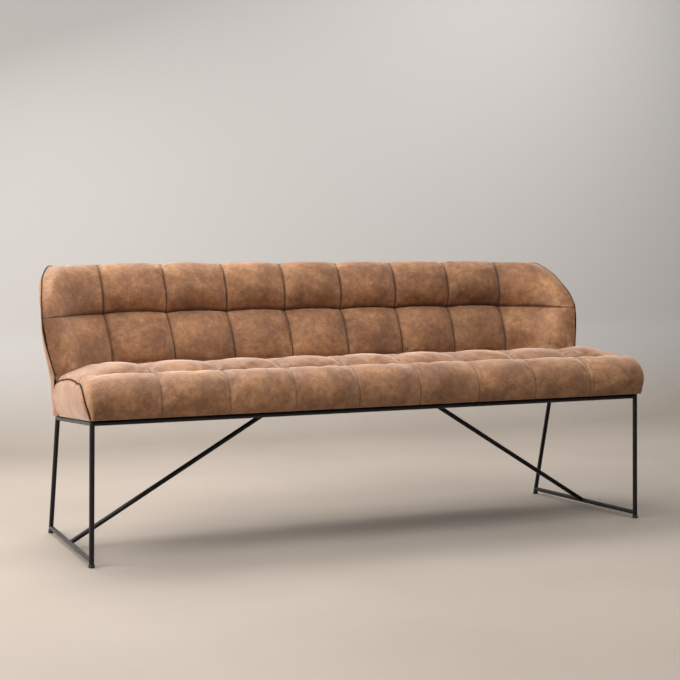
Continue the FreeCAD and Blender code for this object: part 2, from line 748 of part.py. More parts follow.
os.makedirs("parts", exist_ok=True)
nodes = frame_bars()
for name, side in sides.items():
    for end in ("front", "rear"):
        axis_point = leg_axis_at(side, end, glide_height)
        foot = V(axis_point.x, axis_point.y, 0)
        nodes[f"{name}_{end}_glide"] = glide(foot)
        bore_radius = spigot_diameter / 2 + spigot_clearance
        bore = Part.makeCylinder(bore_radius, spigot_length + spigot_clearance, axis_point)
        nodes[f"{name}_{end}_leg"] = nodes[f"{name}_{end}_leg"].cut(bore)
tabs, bolts, washers, tee_nuts = tabs_and_bolts(nodes)
nodes["mounting_tabs"] = Part.makeCompound(tabs)
nodes["seat_bolts"] = Part.makeCompound(bolts)
nodes["seat_washers"] = Part.makeCompound(washers)
nodes["tee_nuts"] = Part.makeCompound(tee_nuts)
nodes.update(seat_inside(seat_core(0), fastener_holes(), rear_corner_waste()))
occupied = back_space()
nodes["seat_quilt"] = seat_quilt(occupied)
for name, side in sides.items():
    nodes[f"{name}_side_cover"] = side_cover(side, occupied)
nodes.update(back_pieces())
screws = Part.makeCompound(shell_screws())
nodes["shell_screws"] = screws
for name in ("back_shell", "seat_rear_timber"):
    nodes[name] = nodes[name].cut(screws)

for name, shape in nodes.items():
    shape = shape.translated(V(0, -middle_depth, 0))
    solids = shape.Solids
    print(name, len(solids), shape.isValid(), round(sum(solid.Volume for solid in solids)))
    whole = solids[0] if len(solids) == 1 else Part.makeCompound(solids)
    whole.exportStep(f"parts/{name}.step")
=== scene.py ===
# Looks of an upholstered dining bench: quilted seat and back in worn brown leather on a black steel frame.
# Metres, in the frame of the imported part: X along the bench, Y to the back, Z up.
import json
import math

import bpy
import numpy as np
from mathutils import Matrix, Vector


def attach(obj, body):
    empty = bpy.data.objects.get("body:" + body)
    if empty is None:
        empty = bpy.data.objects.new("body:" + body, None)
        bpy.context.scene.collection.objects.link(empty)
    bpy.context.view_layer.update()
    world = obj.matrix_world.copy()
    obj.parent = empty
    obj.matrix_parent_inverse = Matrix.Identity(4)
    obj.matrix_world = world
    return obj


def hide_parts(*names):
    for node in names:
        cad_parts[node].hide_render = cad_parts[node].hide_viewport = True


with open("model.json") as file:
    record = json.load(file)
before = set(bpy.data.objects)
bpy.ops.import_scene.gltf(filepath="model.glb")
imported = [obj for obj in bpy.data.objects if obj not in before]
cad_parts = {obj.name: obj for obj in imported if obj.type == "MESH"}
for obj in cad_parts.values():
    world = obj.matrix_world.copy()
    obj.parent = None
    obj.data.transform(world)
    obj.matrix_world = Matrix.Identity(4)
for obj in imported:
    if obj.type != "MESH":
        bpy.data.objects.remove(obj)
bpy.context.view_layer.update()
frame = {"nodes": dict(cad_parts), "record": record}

scene = bpy.context.scene
random = np.random.default_rng(7)

# Sizes, the same as the part's
bar_radius = 0.007
front_top_lead = 0.017
front_top_height = 0.3845
frame_drop = 0.0215
frame_run = 0.501
core_half_length = 0.857
rear_corner_chamfer = 0.062
column_count = 9
row_pitch = 0.19
front_seam_depth = 0.076
pillow_front_lead = 0.028
pillow_front_swell = 0.013
back_lean = math.radians(16)
back_seam_depth = 0.562
back_seam_height = 0.6695
back_pitch = 0.1955
back_thickness = 0.058
roll_low_height = 0.165
roll_low_lead = 0.03
lower_swell = 0.018
upper_swell = 0.028
back_pillow_swell = 0.014
back_pillow_rise = 0.004
top_height = 0.167
top_front_lead = 0.008
rear_drop = 0.014
ear_radius = 0.161
ear_low_radius = 0.137
ear_turn = math.radians(66)
ear_straight = 0.034
box_corner_radius = 0.07
flare_height = 0.06

# Sizes of the ears' soft edges and of the box behind the seat, which differ from the solids'
ear_tip = 0.0503
ear_top_slope = 1.254
tip_top = -0.0196
tip_round_drop = 0.0244
tip_round_start = 0.215
edge_bend = 0.006
edge_heights = (-0.22, -0.185, -0.15, -0.12, -0.085, -0.05, -0.02)
edge_depths = (0.041, 0.0445, 0.048, 0.0505, 0.0505, 0.046, 0.0434)
middle_seam_drop = 0.05
box_half_length = 0.868
box_side_length = 0.02
box_top = -0.2
box_bottom = -0.43

# Values worked out from the sizes
frame_slope = math.atan2(frame_drop, frame_run)
seat_pitch = 2 * core_half_length / column_count
front_reach = -front_top_lead - (pillow_front_lead + pillow_front_swell)
top_reach = (top_height - rear_drop) * math.sin(back_lean)
rear_reach = back_seam_depth + back_thickness * math.cos(back_lean) + top_reach
middle_depth = (front_reach + rear_reach) / 2
last_back_seam = (column_count / 2 - 1) * back_pitch
ear_arc = ear_turn * ear_radius
ear_length = ear_arc + ear_straight + ear_tip


def seat_place(x, depth, height):
    """Points in space from places in the seat's own frame: turned about X by the frame's slope."""
    c, s = math.cos(frame_slope), math.sin(frame_slope)
    y = -front_top_lead + bar_radius * s - middle_depth + depth * c + height * s
    z = front_top_height + bar_radius * c - depth * s + height * c
    return np.stack(np.broadcast_arrays(x, y, z), axis=-1)


def seat_frame_of(points):
    """Depth and height in the seat's own frame of points in space."""
    c, s = math.cos(frame_slope), math.sin(frame_slope)
    y = points[..., 1] + front_top_lead - bar_radius * s + middle_depth
    z = points[..., 2] - front_top_height - bar_radius * c
    return y * c - z * s, z * c + y * s


def back_place(x, depth, height):
    """Points in space from places in the back's own frame: turned about X by the back's lean."""
    c, s = math.cos(back_lean), math.sin(back_lean)
    y = back_seam_depth - middle_depth + depth * c + height * s
    z = back_seam_height - depth * s + height * c
    return np.stack(np.broadcast_arrays(x, y, z), axis=-1)


def back_frame_of(points):
    """Depth and height in the back's own frame of points in space."""
    c, s = math.cos(back_lean), math.sin(back_lean)
    y = points[..., 1] - back_seam_depth + middle_depth
    z = points[..., 2] - back_seam_height
    return y * c - z * s, y * s + z * c


# Curves that the covers share

def swelled(start, end, swell, share):
    """Points from start to end that stand off the line between them to the left of the way.

    They stand off by swell times (1 - |2 share - 1| ^ 2.2) ^ 0.72: a padded roll, steep at its seams and
    flat on top."""
    run_a, run_b = end[0] - start[0], end[1] - start[1]
    chord = np.hypot(run_a, run_b)
    out = swell * np.maximum(1 - np.abs(2 * share - 1) ** 2.2, 0) ** 0.72
    a = start[0] + share * run_a - out * run_b / chord
    b = start[1] + share * run_b + out * run_a / chord
    return a, b


def crossed(a):
    """Height across a column of quilting at a share a of its width: (1 - |2 a - 1| ^ 2.4) ^ 0.8."""
    return np.maximum(1 - np.abs(2 * a - 1) ** 2.4, 0) ** 0.8


def smooth(value, low, high):
    """0 below low, 1 above high, and a smooth S between: t t (3 - 2 t) for the share t of the way."""
    t = np.clip((value - low) / (high - low), 0, 1)
    return t * t * (3 - 2 * t)


# Grids and meshes

column_steps = 27
fewest_graded_steps = 20


def graded(count):
    """Shares from 0 up to 1, without the 1, half as far apart at the ends: a - 0.5 sin(2 pi a) / (2 pi)."""
    a = np.arange(count) / count
    return a - 0.5 * np.sin(2 * math.pi * a) / (2 * math.pi)


def outline_rows(steps):
    """For each row of points of an outline, the number of its part and the share of that part.

    Parts of many steps have closer rows at both ends."""
    part = np.concatenate([np.full(n, k) for k, n in enumerate(steps)] + [[len(steps) - 1]])
    shares = [graded(n) if n >= fewest_graded_steps else np.arange(n) / n for n in steps]
    return part, np.concatenate(shares + [[1.0]])


def column_lines(count):
    """Places of the lines of points over a number of columns, in columns."""
    return np.concatenate([k + graded(column_steps) for k in range(count)] + [[count]])


def grid_quads(n, m, wrap=False):
    """Corner numbers of the faces of an n by m grid of points, closed round along m where asked."""
    i = np.arange(n - 1)[:, None]
    j = np.arange(m if wrap else m - 1)[None, :]
    i2, j2 = i + 1, (j + 1) % m
    quads = np.stack(np.broadcast_arrays(i * m + j, i2 * m + j, i2 * m + j2, i * m + j2), axis=-1)
    return quads.reshape(-1, 4)


def build(name, points, quads, seam_shade=None):
    """A smooth-shaded mesh object from points and four-sided faces, with a mask of painted shade along its
    seams where given.

    Points that no face uses are left out."""
    points = np.asarray(points, dtype=np.float32).reshape(-1, 3)
    used, quads = np.unique(quads, return_inverse=True)
    quads = quads.reshape(-1, 4)
    mesh = bpy.data.meshes.new(name)
    mesh.vertices.add(len(used))
    mesh.vertices.foreach_set("co", points[used].ravel())
    mesh.loops.add(quads.size)
    mesh.loops.foreach_set("vertex_index", quads.astype(np.int32).ravel())
    mesh.polygons.add(len(quads))
    mesh.polygons.foreach_set("loop_start", np.arange(0, quads.size, 4, dtype=np.int32))
    mesh.polygons.foreach_set("use_smooth", np.ones(len(quads), dtype=bool))
    mesh.update(calc_edges=True)
    # The seam attribute is painted shade: a mask that darkens the leather in and beside the seam grooves,
    # where shade falls.
    if seam_shade is not None:
        layer = mesh.attributes.new("seam", "FLOAT", "POINT")
        layer.data.foreach_set("value", seam_shade.astype(np.float32).ravel()[used])
    obj = bpy.data.objects.new(name, mesh)
    scene.collection.objects.link(obj)
    return obj


def joined(name, parts):
    """One object from several lots of points and faces."""
    points, quads, count = [], [], 0
    for lot, faces in parts:
        lot = lot.reshape(-1, 3)
        points.append(lot)
        quads.append(faces + count)
        count += len(lot)
    return build(name, np.concatenate(points), np.concatenate(quads))


def grid_normals(points):
    """Unit normals of a grid of points, from its differences both ways."""
    normal = np.cross(np.gradient(points, axis=0), np.gradient(points, axis=1))
    return normal / np.maximum(np.linalg.norm(normal, axis=-1, keepdims=True), 1e-12)


def eased(points, first, last, rounds):
    """A grid whose rows from first to last are smoothed across the rows by rounds of averaging."""
    row = np.arange(points.shape[1])
    weight = 0.25 * smooth(np.minimum(row - first, last - row), 0, 4)[None, 1:-1, None]
    points = points.copy()
    for _ in range(rounds):
        points[:, 1:-1] += weight * (points[:, 2:] - 2 * points[:, 1:-1] + points[:, :-2])
    return points


def relaxed(points, along, across, rounds):
    """A grid smoothed by rounds of averaging with the four neighbours, weighted along and across it."""
    points = points.copy()
    weight = (0.2 * along[:, None] * across[None, :])[1:-1, 1:-1, None]
    for _ in range(rounds):
        near = points[2:, 1:-1] + points[:-2, 1:-1] + points[1:-1, 2:] + points[1:-1, :-2]
        points[1:-1, 1:-1] += weight * (near - 4 * points[1:-1, 1:-1])
    return points


# Seat quilting

seat_steps = (2, 11, 16, 27, 27, 9)
seat_edge_height = 0.0002
seat_hem = 0.013
seat_hem_height = 0.0006
seat_tail = 0.085
seat_tail_drop = 0.012
seat_tail_swell = 0.004
end_flare = 0.01


def seat_outline(lead, bow, shoulder, brow, seam_heights, swell):
    """The numbers of one outline of the seat in a row.

    They are the bottom edge's lead, the front's bow, the shoulder's depth and height, the brow above it, the
    heights of three seams, and the swell of the rows between them."""
    return np.array([lead, bow, *shoulder, brow, *seam_heights, swell])


seat_seam = seat_outline(lead=0.024, bow=0.009, shoulder=(-0.024, 0.0746), brow=0.024,
                         seam_heights=(0.113, 0.1085, 0.104), swell=0.024)
seat_pillow = seat_outline(lead=pillow_front_lead, bow=pillow_front_swell, shoulder=(-0.028, 0.0802),
                           brow=0.03, seam_heights=(0.116, 0.1115, 0.107), swell=0.04)
seat_shoulder = seat_outline(lead=0.027, bow=0.012, shoulder=(-0.026, 0.086), brow=0.021,
                             seam_heights=(0.114, 0.1125, 0.094), swell=0.016)
seat_end = seat_outline(lead=0.019, bow=0.005, shoulder=(0.011, 0.069), brow=0.012,
                        seam_heights=(0.097, 0.107, 0.084), swell=0.007)


def front_roll(start, shoulder, top, bow, brow, share, part):
    """The seat's front from its bottom edge over the shoulder to the first seam: one smooth curve.

    It is a Bezier curve of degree 4 whose inner points stand off the two chords by about twice bow and brow.
    Part 1 of the outline has the first 45 percent of its parameter, and part 2 the rest."""
    t = np.where(part == 1, share * 0.45, 0.45 + share * 0.55)
    p1 = (start[0] - 2.2 * bow, 0.40 * shoulder[1])
    p2 = (shoulder[0] - 1.6 * bow - 0.55 * brow, shoulder[1] + 0.6 * brow)
    p3 = ((shoulder[0] + top[0]) / 2 - 0.35 * brow, top[1] + 0.95 * brow)
    w = [(1 - t) ** 4, 4 * t * (1 - t) ** 3, 6 * t ** 2 * (1 - t) ** 2, 4 * t ** 3 * (1 - t), t ** 4]
    knots = (start, p1, p2, p3, top)
    return tuple(sum(w[k] * knots[k][axis] for k in range(5)) for axis in (0, 1))


def seat_profile(x, part, share, fullness):
    """Depth and height of the seat's cover at a place x along it, a part of its outline and a share of it.

    Each outline number is a mix over x: the seam's at a seam and the pillow's in the middle of a column. In
    the outer half of the last column it goes on to the shoulder's, and over the last 15 mm to the end's.
    fullness scales what the pillow adds to the seam."""
    across = (np.abs(x) + seat_pitch / 2) / seat_pitch
    column = np.clip(np.floor(across), 0, column_count // 2)
    a = np.clip(across - column, 0, 1)[..., None]
    last = (column == column_count // 2)[..., None] & (a > 0.5)
    pillow = seat_seam + (seat_pillow - seat_seam) * fullness
    outer = pillow + (seat_shoulder - pillow) * smooth(a, 0.5, 0.9)
    hold = np.maximum(1 - np.abs(2 * a - 1) ** 20, 0) ** 0.7
    hump = crossed(a)
    numbers = np.where(last, hold * outer + (1 - hold) * seat_end, hump * pillow + (1 - hump) * seat_seam)
    lead, bow, shoulder_depth, shoulder_height, brow, h0, h1, h2, swell = np.moveaxis(numbers, -1, 0)
    start = (-lead, seat_edge_height)
    hem = (start[0] + seat_hem, seat_hem_height)
    seams = [(front_seam_depth + k * row_pitch, h) for k, h in enumerate((h0, h1, h2))]
    tail = (seams[2][0] + seat_tail, h2 - seat_tail_drop)
    roll = front_roll(start, (shoulder_depth, shoulder_height), seams[0], bow, brow, share, part)
    pieces = [
        swelled(hem, start, 0.0, share),
        roll,
        roll,
        swelled(seams[0], seams[1], swell, share),
        swelled(seams[1], seams[2], swell, share),
        swelled(seams[2], tail, seat_tail_swell, share),
    ]
    return np.choose(part, [p[0] for p in pieces]), np.choose(part, [p[1] for p in pieces])


def flare_at(height, share=1.0):
    """How far the seat's end leans out at a height: a share of end_flare, all of it from flare_height up."""
    return end_flare * share * smooth(height, 0.0, flare_height)


seat_part, seat_share = outline_rows(seat_steps)
seat_marks = np.cumsum((0,) + seat_steps)
seat_x = column_lines(column_count) * seat_pitch - core_half_length


def seat_points(fullness):
    """The grid of points of the seat's cover. Its end columns lean out by the cube of the way along them."""
    x, part, share = np.broadcast_arrays(seat_x[:, None], seat_part[None, :], seat_share[None, :])
    depth, height = seat_profile(x, part, share, fullness)
    last = np.clip(np.abs(x) / seat_pitch + 0.5 - column_count // 2, 0, 1)
    return seat_place(x + np.sign(x) * flare_at(height, last ** 3), depth, height)


# Back quilting

back_steps = (10, 25, 24, 12, 4)
ear_steps = 36
base_height = -0.24
groove_lift = 0.007
crown_setback = 0.004
crown_lift = 0.002
ear_crown_drop = 0.024
least_row_height = 0.002
top_roll_swell = 0.015
top_pillow_swell = 0.002
tuck_turn = 0.003
tuck_length = 0.0115
least_tuck = 0.0005
fan_heights = (-0.2, 0.0, top_height)
fan_shares = (-0.018, 0.004, 0.014)

# Stretches along an ear, from the last seam, over which something begins or ends
thin_run = (0.04, 0.225)
lift_run = (0.1, 0.22)
crown_run = (0.02, 0.13)
roll_run = (0.08, 0.16)
edge_run = (0.05, 0.12)
tuck_run = (0.04, 0.12)
edge_start = 0.12
ear_hump_margin = 0.01

# Smoothing of the back: rows below the top and rounds, and the stretch of an ear, its edge and rounds
ease_rows = 14
ease_rounds = 40
relax_run = (0.09, 0.17)
relax_edge = 0.01
relax_rounds = 30


def ear_past(s):
    """How far a length s lies past the last seam, along the ear."""
    return np.maximum(np.abs(s) - last_back_seam, 0)


def curl_radius(height):
    """Radius of an ear's curl, which grows with the height, so the ears flare."""
    return ear_radius + (ear_radius - ear_low_radius) * height / roll_low_height


def curl_place(s, depth, height):
    """Place in the back's frame of a length s along the curled back, a depth behind its seams and a height.

    Past the last seams the line turns about a centre a radius in front, by up to the ear's angle, and then
    runs straight."""
    side = np.sign(s)
    past = ear_past(s)
    radius = curl_radius(height)
    angle = np.minimum(past / ear_radius, ear_turn)
    straight = np.maximum(past - ear_arc, 0)
    curled = np.sin(angle) * (radius + depth)
    x = side * (np.minimum(np.abs(s), last_back_seam) + curled + np.cos(angle) * straight)
    y = -radius + np.cos(angle) * (radius + depth) - np.sin(angle) * straight
    return x, y, height


def ear_thin(past):
    """Share of the back's fullness that is left along an ear: it falls to 0.4."""
    return 1 - 0.6 * smooth(past, *thin_run)


def ear_thickness(s):
    """Share of the padding that is left near an ear's edge: 1 - run ^ 2.2, to the power 0.5."""
    run = np.clip((ear_past(s) - edge_start) / (ear_length - edge_start), 0, 1)
    return np.sqrt(np.maximum(1 - run ** 2.2, 0))


def edge_lead(s, height):
    """Lead of the edge seam: behind the top by the back's thickness, and less far behind along the ear."""
    depth = np.interp(height, edge_heights, edge_depths)
    return -back_thickness - (depth - back_thickness) * smooth(ear_past(s), *edge_run)


def edge_height(s):
    """Height of the edge seam: level behind the top, then falling along the ear's corner to its tip.

    The bend is the smooth lesser of the level a and the line b, (a + b - ((a - b) ^ 2 + 4 k ^ 2) ^ 0.5) / 2,
    and the lower end is rounded by the fourth power of the way."""
    past = ear_past(s)
    level = top_height - rear_drop
    line = tip_top + ear_top_slope * (ear_length - past)
    height = (level + line - np.sqrt((level - line) ** 2 + 4 * edge_bend ** 2)) / 2
    end = np.clip((past - tip_round_start) / (ear_length - tip_round_start), 0, 1)
    return height - tip_round_drop * end ** 4


def tuck(s):
    """How far the quilting turns down behind the top before its edge seam: hardly at all on an ear."""
    return tuck_length * (1 - smooth(ear_past(s), *tuck_run)) + least_tuck


def groove_height(s):
    """Height of the middle seam, which sinks along an ear to the seam at its edge."""
    return -middle_seam_drop * (ear_past(s) / ear_length) ** 1.2


def towards_seam(lead, s, height):
    """A lead drawn in towards the seam along the ear's edge."""
    edge = edge_lead(s, height)
    return edge + (lead - edge) * ear_thickness(s)


def fanned(s, fan):
    """Length along the back of a column's line: further out by a share fan of it, and less along an ear."""
    return s + np.clip(s, -last_back_seam, last_back_seam) * fan * (1 - ear_past(s) / ear_length)


def back_profile(s, column_s, part, share, fullness):
    """Lead and height of the back's cover at a length s, a part of its outline and a share of that part.

    Pillow numbers follow one hump over each column, at the length column_s before the columns are fanned. On
    an ear the cover thins towards its edge."""
    past = ear_past(s)
    column_past = ear_past(column_s)
    on_ear = column_past > 0
    a = (column_s + column_count * back_pitch / 2) / back_pitch % 1
    ear_hump = 0.9 * crossed(np.clip(column_past / (ear_length - ear_hump_margin), 0, 1))
    hump = np.where(on_ear, ear_hump, crossed(a)) * fullness
    thin = ear_thin(past)
    groove = groove_height(s) + groove_lift * hump * (1 - smooth(past, *lift_run))
    rear = edge_height(s)
    crown = rear + rear_drop - crown_setback - ear_crown_drop * smooth(past, *crown_run)
    crown = np.maximum(crown + np.where(on_ear, 0, crown_lift * hump), groove + least_row_height)
    knee_lead = towards_seam(roll_low_lead * thin, s, -roll_low_height)
    base_lead = towards_seam(roll_low_lead * thin, s, base_height)
    groove_lead = towards_seam(back_pillow_rise * hump, s, groove)
    lead = towards_seam((top_front_lead + back_pillow_rise * hump) * thin, s, crown)
    rear_lead = edge_lead(s, rear)
    upper = thin * (crown - groove) / top_height * ear_thickness(s)
    lower = thin * ear_thickness(s)
    roll = (1 - 0.5 * smooth(past, *roll_run)) * ear_thickness(s)
    base, knee = (base_lead, base_height), (knee_lead, -roll_low_height)
    middle, top, edge = (groove_lead, groove), (lead, crown), (rear_lead, rear)
    pieces = [
        swelled(base, knee, 0.0, share),
        swelled(knee, middle, -(lower_swell + back_pillow_swell * hump) * lower, share),
        swelled(middle, top, -(upper_swell + back_pillow_swell * hump) * upper, share),
        swelled(top, edge, -(top_roll_swell + top_pillow_swell * hump) * roll, share),
        swelled(edge, (rear_lead + tuck_turn, rear - tuck(s)), 0.0, share),
    ]
    return np.choose(part, [p[0] for p in pieces]), np.choose(part, [p[1] for p in pieces])


back_part, back_share = outline_rows(back_steps)
back_marks = np.cumsum((0,) + back_steps)
back_row = np.arange(len(back_part))
ear_reach = ear_length * (1 - (1 - np.linspace(0, 1, ear_steps + 1)[1:]) ** 1.15)
back_straight = column_lines(column_count - 2) * back_pitch - last_back_seam
back_s = np.concatenate([-last_back_seam - ear_reach[::-1], back_straight, last_back_seam + ear_reach])
ear_inward = ear_length - ear_past(back_s)
part_heights = (base_height, -roll_low_height, 0.0, top_height, top_height)
nominal_height = np.interp(back_part + back_share, (0, 1, 2, 3, 5), part_heights)
column_fan = np.interp(nominal_height, fan_heights, fan_shares)


def back_points(fullness):
    """The grid of points of the back's cover, with its top and the upper rows of its ears smoothed."""
    s = fanned(back_s[:, None], column_fan[None, :])
    column_s, part, share = np.broadcast_arrays(back_s[:, None], back_part[None, :], back_share[None, :])
    lead, height = back_profile(s, column_s, part, share, fullness)
    points = back_place(*curl_place(s, -lead, height))
    points = eased(points, back_marks[3] - ease_rows, back_marks[4], ease_rounds)
    upper = smooth(np.minimum(back_row - back_marks[2], back_marks[4] - back_row), 0, 3)
    ears = np.minimum(smooth(ear_past(back_s), *relax_run), smooth(ear_inward, 0, relax_edge))
    return relaxed(points, ears, upper, relax_rounds)


# Stuffing both covers

start_fullness = 0.85
unevenness = 0.0003
cloth_growth = 0.017
cloth_frames = 18
cloth_reach = 0.02
cloth_values = {
    "quality": 5, "mass": 0.02, "air_damping": 4.0, "tension_stiffness": 40.0, "compression_stiffness": 40.0,
    "shear_stiffness": 20.0, "bending_stiffness": 6.0, "tension_damping": 20.0, "compression_damping": 20.0,
    "shear_damping": 20.0, "use_pressure": True, "uniform_pressure_force": 4.0, "vertex_group_mass": "sewn",
    "shrink_min": -cloth_growth,
}
calm_run = 0.04
calm_edge = 0.012
calm_rounds = 24


def sewn(count, seams, rows):
    """A mask of the grid points that are sewn down: whole columns at the seams and whole rows."""
    mask = np.zeros(count, dtype=bool)
    mask[seams, :] = True
    mask[:, rows] = True
    return mask


def puff(start, pins):
    """Points of a padded cover: a cloth simulation that blows the grid up between its sewn points.

    The cloth is cut larger than the start by cloth_growth, so it gathers along the seams, and no point moves
    more than cloth_reach."""
    n, m = start.shape[:2]
    obj = build("cover_at_start", start, grid_quads(n, m))
    group = obj.vertex_groups.new(name="sewn")
    group.add(np.flatnonzero(pins.ravel()).tolist(), 1.0, "REPLACE")
    cloth = obj.modifiers.new("cloth", "CLOTH")
    for key, value in cloth_values.items():
        setattr(cloth.settings, key, value)
    cloth.settings.effector_weights.gravity = 0.0
    cloth.collision_settings.use_collision = False
    cloth.point_cache.frame_start = 1
    cloth.point_cache.frame_end = cloth_frames
    for number in range(1, cloth_frames + 1):
        scene.frame_set(number)
    shown = obj.evaluated_get(bpy.context.evaluated_depsgraph_get())
    moved = np.empty(n * m * 3, dtype=np.float32)
    shown.data.vertices.foreach_get("co", moved)
    scene.frame_set(1)
    bpy.data.objects.remove(obj)
    step = moved.reshape(start.shape) - start
    length = np.linalg.norm(step, axis=-1, keepdims=True)
    return start + step * np.minimum(1, cloth_reach / np.maximum(length, 1e-9))


def stuffed(points_at, shape, pins):
    start = points_at(start_fullness)
    uneven = np.where(pins, 0, random.normal(0, unevenness, shape))
    return puff(start + uneven[..., None] * grid_normals(start), pins)


seat_shape = (len(seat_x), len(seat_part))
seat_seams = list(range(0, len(seat_x), column_steps))
seat_rows = [seat_marks[3], seat_marks[4], seat_marks[5]]
seat_pins = sewn(seat_shape, seat_seams, [0, 1, seat_marks[1], *seat_rows, len(seat_part) - 1])
back_shape = (len(back_s), len(back_part))
back_seams = [0, *range(ear_steps, len(back_s) - ear_steps, column_steps), len(back_s) - 1]
back_rows = [back_marks[2]]
back_pins = sewn(back_shape, back_seams, [0, *back_rows, back_marks[4], len(back_part) - 1])

seat_cover = stuffed(seat_points, seat_shape, seat_pins)
back_cover = stuffed(back_points, back_shape, back_pins)
calm_rows = smooth(np.minimum(np.abs(back_row - back_marks[2]), back_marks[4] - back_row), 0, 4)
calm_ears = np.minimum(smooth(ear_past(back_s), 0.0, calm_run), smooth(ear_inward, 0, calm_edge))
back_cover = relaxed(back_cover, calm_ears, calm_rows, calm_rounds)


# Seams drawn in, and folds

groove_spread = 0.75
seat_row_draw = 0.002
seat_column_draw = 0.005
seat_front_draw = 0.4
back_column_draw = 0.006
back_top_draw = 0.002
middle_seam_draw = 0.003
fold_stand = 0.006
fold_distance = 0.05
fold_width = 0.032
folds_per_radian = 12
fold_corner_height = -0.225
fold_edge = 0.02


def seam_closeness(count, seams, rows, spread):
    """1 on a seam, falling off with the number n of grid steps from it: exp(-(n / spread) ^ 2)."""
    def near(length, places):
        steps = np.abs(np.arange(length)[:, None] - np.array(places)[None, :])
        return np.exp(-(steps.min(axis=1, initial=length) / spread) ** 2)

    return np.maximum(near(count[0], seams)[:, None], near(count[1], rows)[None, :])


def drawn_in(points, seams, rows, depth):
    """The cover with its seams drawn in by a depth for each row of points, along its normals."""
    close = seam_closeness(points.shape[:2], seams, rows, groove_spread) * depth[None, :]
    return points - close[..., None] * grid_normals(points)


def ear_folds(points):
    """The back's cover with folds that fan out of the low corner of each ear.

    At a distance r and an angle t from the corner they stand out by
    fold_stand exp(-((r - fold_distance) / fold_width) ^ 2) cos(folds_per_radian t)."""
    height = back_frame_of(points)[1]
    inward = ear_inward[:, None]
    rise = height - fold_corner_height
    r, t = np.hypot(inward, rise), np.arctan2(rise, inward)
    ring = np.exp(-((r - fold_distance) / fold_width) ** 2)
    stand = fold_stand * ring * np.cos(folds_per_radian * t) * smooth(inward, 0.0, fold_edge)
    stand = np.where(back_row[None, :] < back_marks[2], stand, 0)
    return points + stand[..., None] * grid_normals(points)


front_draw = seat_front_draw * np.minimum(1, 3 * seat_share)
shoulder_draw = seat_front_draw + (1 - seat_front_draw) * seat_share
seat_draw = np.where(np.isin(np.arange(len(seat_part)), seat_rows), seat_row_draw, seat_column_draw)
seat_draw = seat_draw * np.choose(seat_part, [0, front_draw, shoulder_draw, 1, 1, 1])
seat_cover = drawn_in(seat_cover, seat_seams[1:-1], seat_rows, seat_draw)
back_draw = np.where(back_part < 3, back_column_draw, back_top_draw)
back_draw = back_draw + middle_seam_draw * (back_row == back_marks[2])
back_cover = ear_folds(drawn_in(back_cover, back_seams[1:-1], back_rows, back_draw))


# Part of the seat's cover that lies inside the back

def behind_back(points, margin):
    """True where points lie inside the curled back, behind its front by more than a margin."""
    depth, height = back_frame_of(points)
    radius = curl_radius(height)
    out = np.abs(points[..., 0]) - last_back_seam
    forward = depth + radius
    angle = np.arctan2(out, forward)
    c, s = math.cos(ear_turn), math.sin(ear_turn)
    straight = out * c - forward * s
    lead = np.where(out < 0, -depth, radius - np.hypot(out, forward))
    lead = np.where((out > 0) & (angle > ear_turn), radius - (out * s + forward * c), lead)
    past = np.where(angle > ear_turn, ear_arc + straight, np.maximum(angle, 0) * ear_radius)
    past = np.where(out < 0, 0, past)
    front = towards_seam(roll_low_lead * ear_thin(past), last_back_seam + past, height)
    return (lead < front - margin) & (past < ear_length)


seat_hidden = behind_back(seat_cover, margin=0.008).ravel()


# Outer cover of the back

outer_steps = 46
outer_ear_points = 40
outer_back_points = 120
outer_turn = 0.02
outer_fullness = 0.02
full_heights = (-0.04, 0.11)
full_run = (0.02, 0.15)
flush_heights = (0.2, 0.25)
outer_curl_end = -0.22
outer_hem_height = 0.0014
outer_bottom_guess = -0.3
outer_overlap = 0.001
outer_seam_draw = 0.0025
outer_seam_end = 0.08
panel_stand = 0.0015
panel_swell = 0.0075


def outer_depth(s, height):
    """Depth of the outer cover behind the back's seams: it turns in to the edge seam at its top and front.

    On an ear it stands out by up to outer_fullness more below the middle seam."""
    past = ear_past(s)
    run = np.clip((past - edge_start) / (ear_length - edge_start), 0, 1)
    turn = np.clip((edge_height(s) - height) / outer_turn, 0, 1)
    edge = -edge_lead(s, height)
    full = back_thickness + outer_fullness * smooth(-height, *full_heights) * smooth(past, *full_run)
    return edge + (full - edge) * (1 - run ** 3) * np.sqrt(1 - (1 - turn) ** 2)


def panel_reach(height):
    """Distance from the middle of the seat to the flat cover on its end, at a height in the seat's frame."""
    return core_half_length + (panel_stand + panel_swell) + flare_at(height)


def outer_place(s, height):
    """Place in the back's frame of the outer cover at a length s and a height.

    Above the seat it follows the curled back. Below, it turns straight into a box with small round corners,
    and its front edge lies flush with the flat cover on the end of the seat."""
    side = np.sign(s)
    past = ear_past(s)
    x, y, _ = curl_place(s, outer_depth(s, height), np.maximum(height, outer_curl_end))
    corner = np.clip(past / ear_arc, 0, 1) * math.pi / 2
    flat = np.maximum(past - ear_arc, 0) / (ear_length - ear_arc) * box_side_length
    box_end = box_half_length - box_corner_radius
    box_run = np.minimum(np.abs(s), last_back_seam) / last_back_seam * box_end
    box_x = side * (box_run + box_corner_radius * np.sin(corner))
    box_y = back_thickness - box_corner_radius + box_corner_radius * np.cos(corner) - flat
    t = np.clip((box_top - height) / (box_top - box_bottom), 0, 1)
    x, y = x + (box_x - x) * t, y + (box_y - y) * t
    flush = smooth(past, ear_arc, ear_length) * smooth(-height, *flush_heights)
    reach = side * panel_reach(seat_frame_of(back_place(x, y, height))[1])
    return x + (reach - x) * flush, y, height


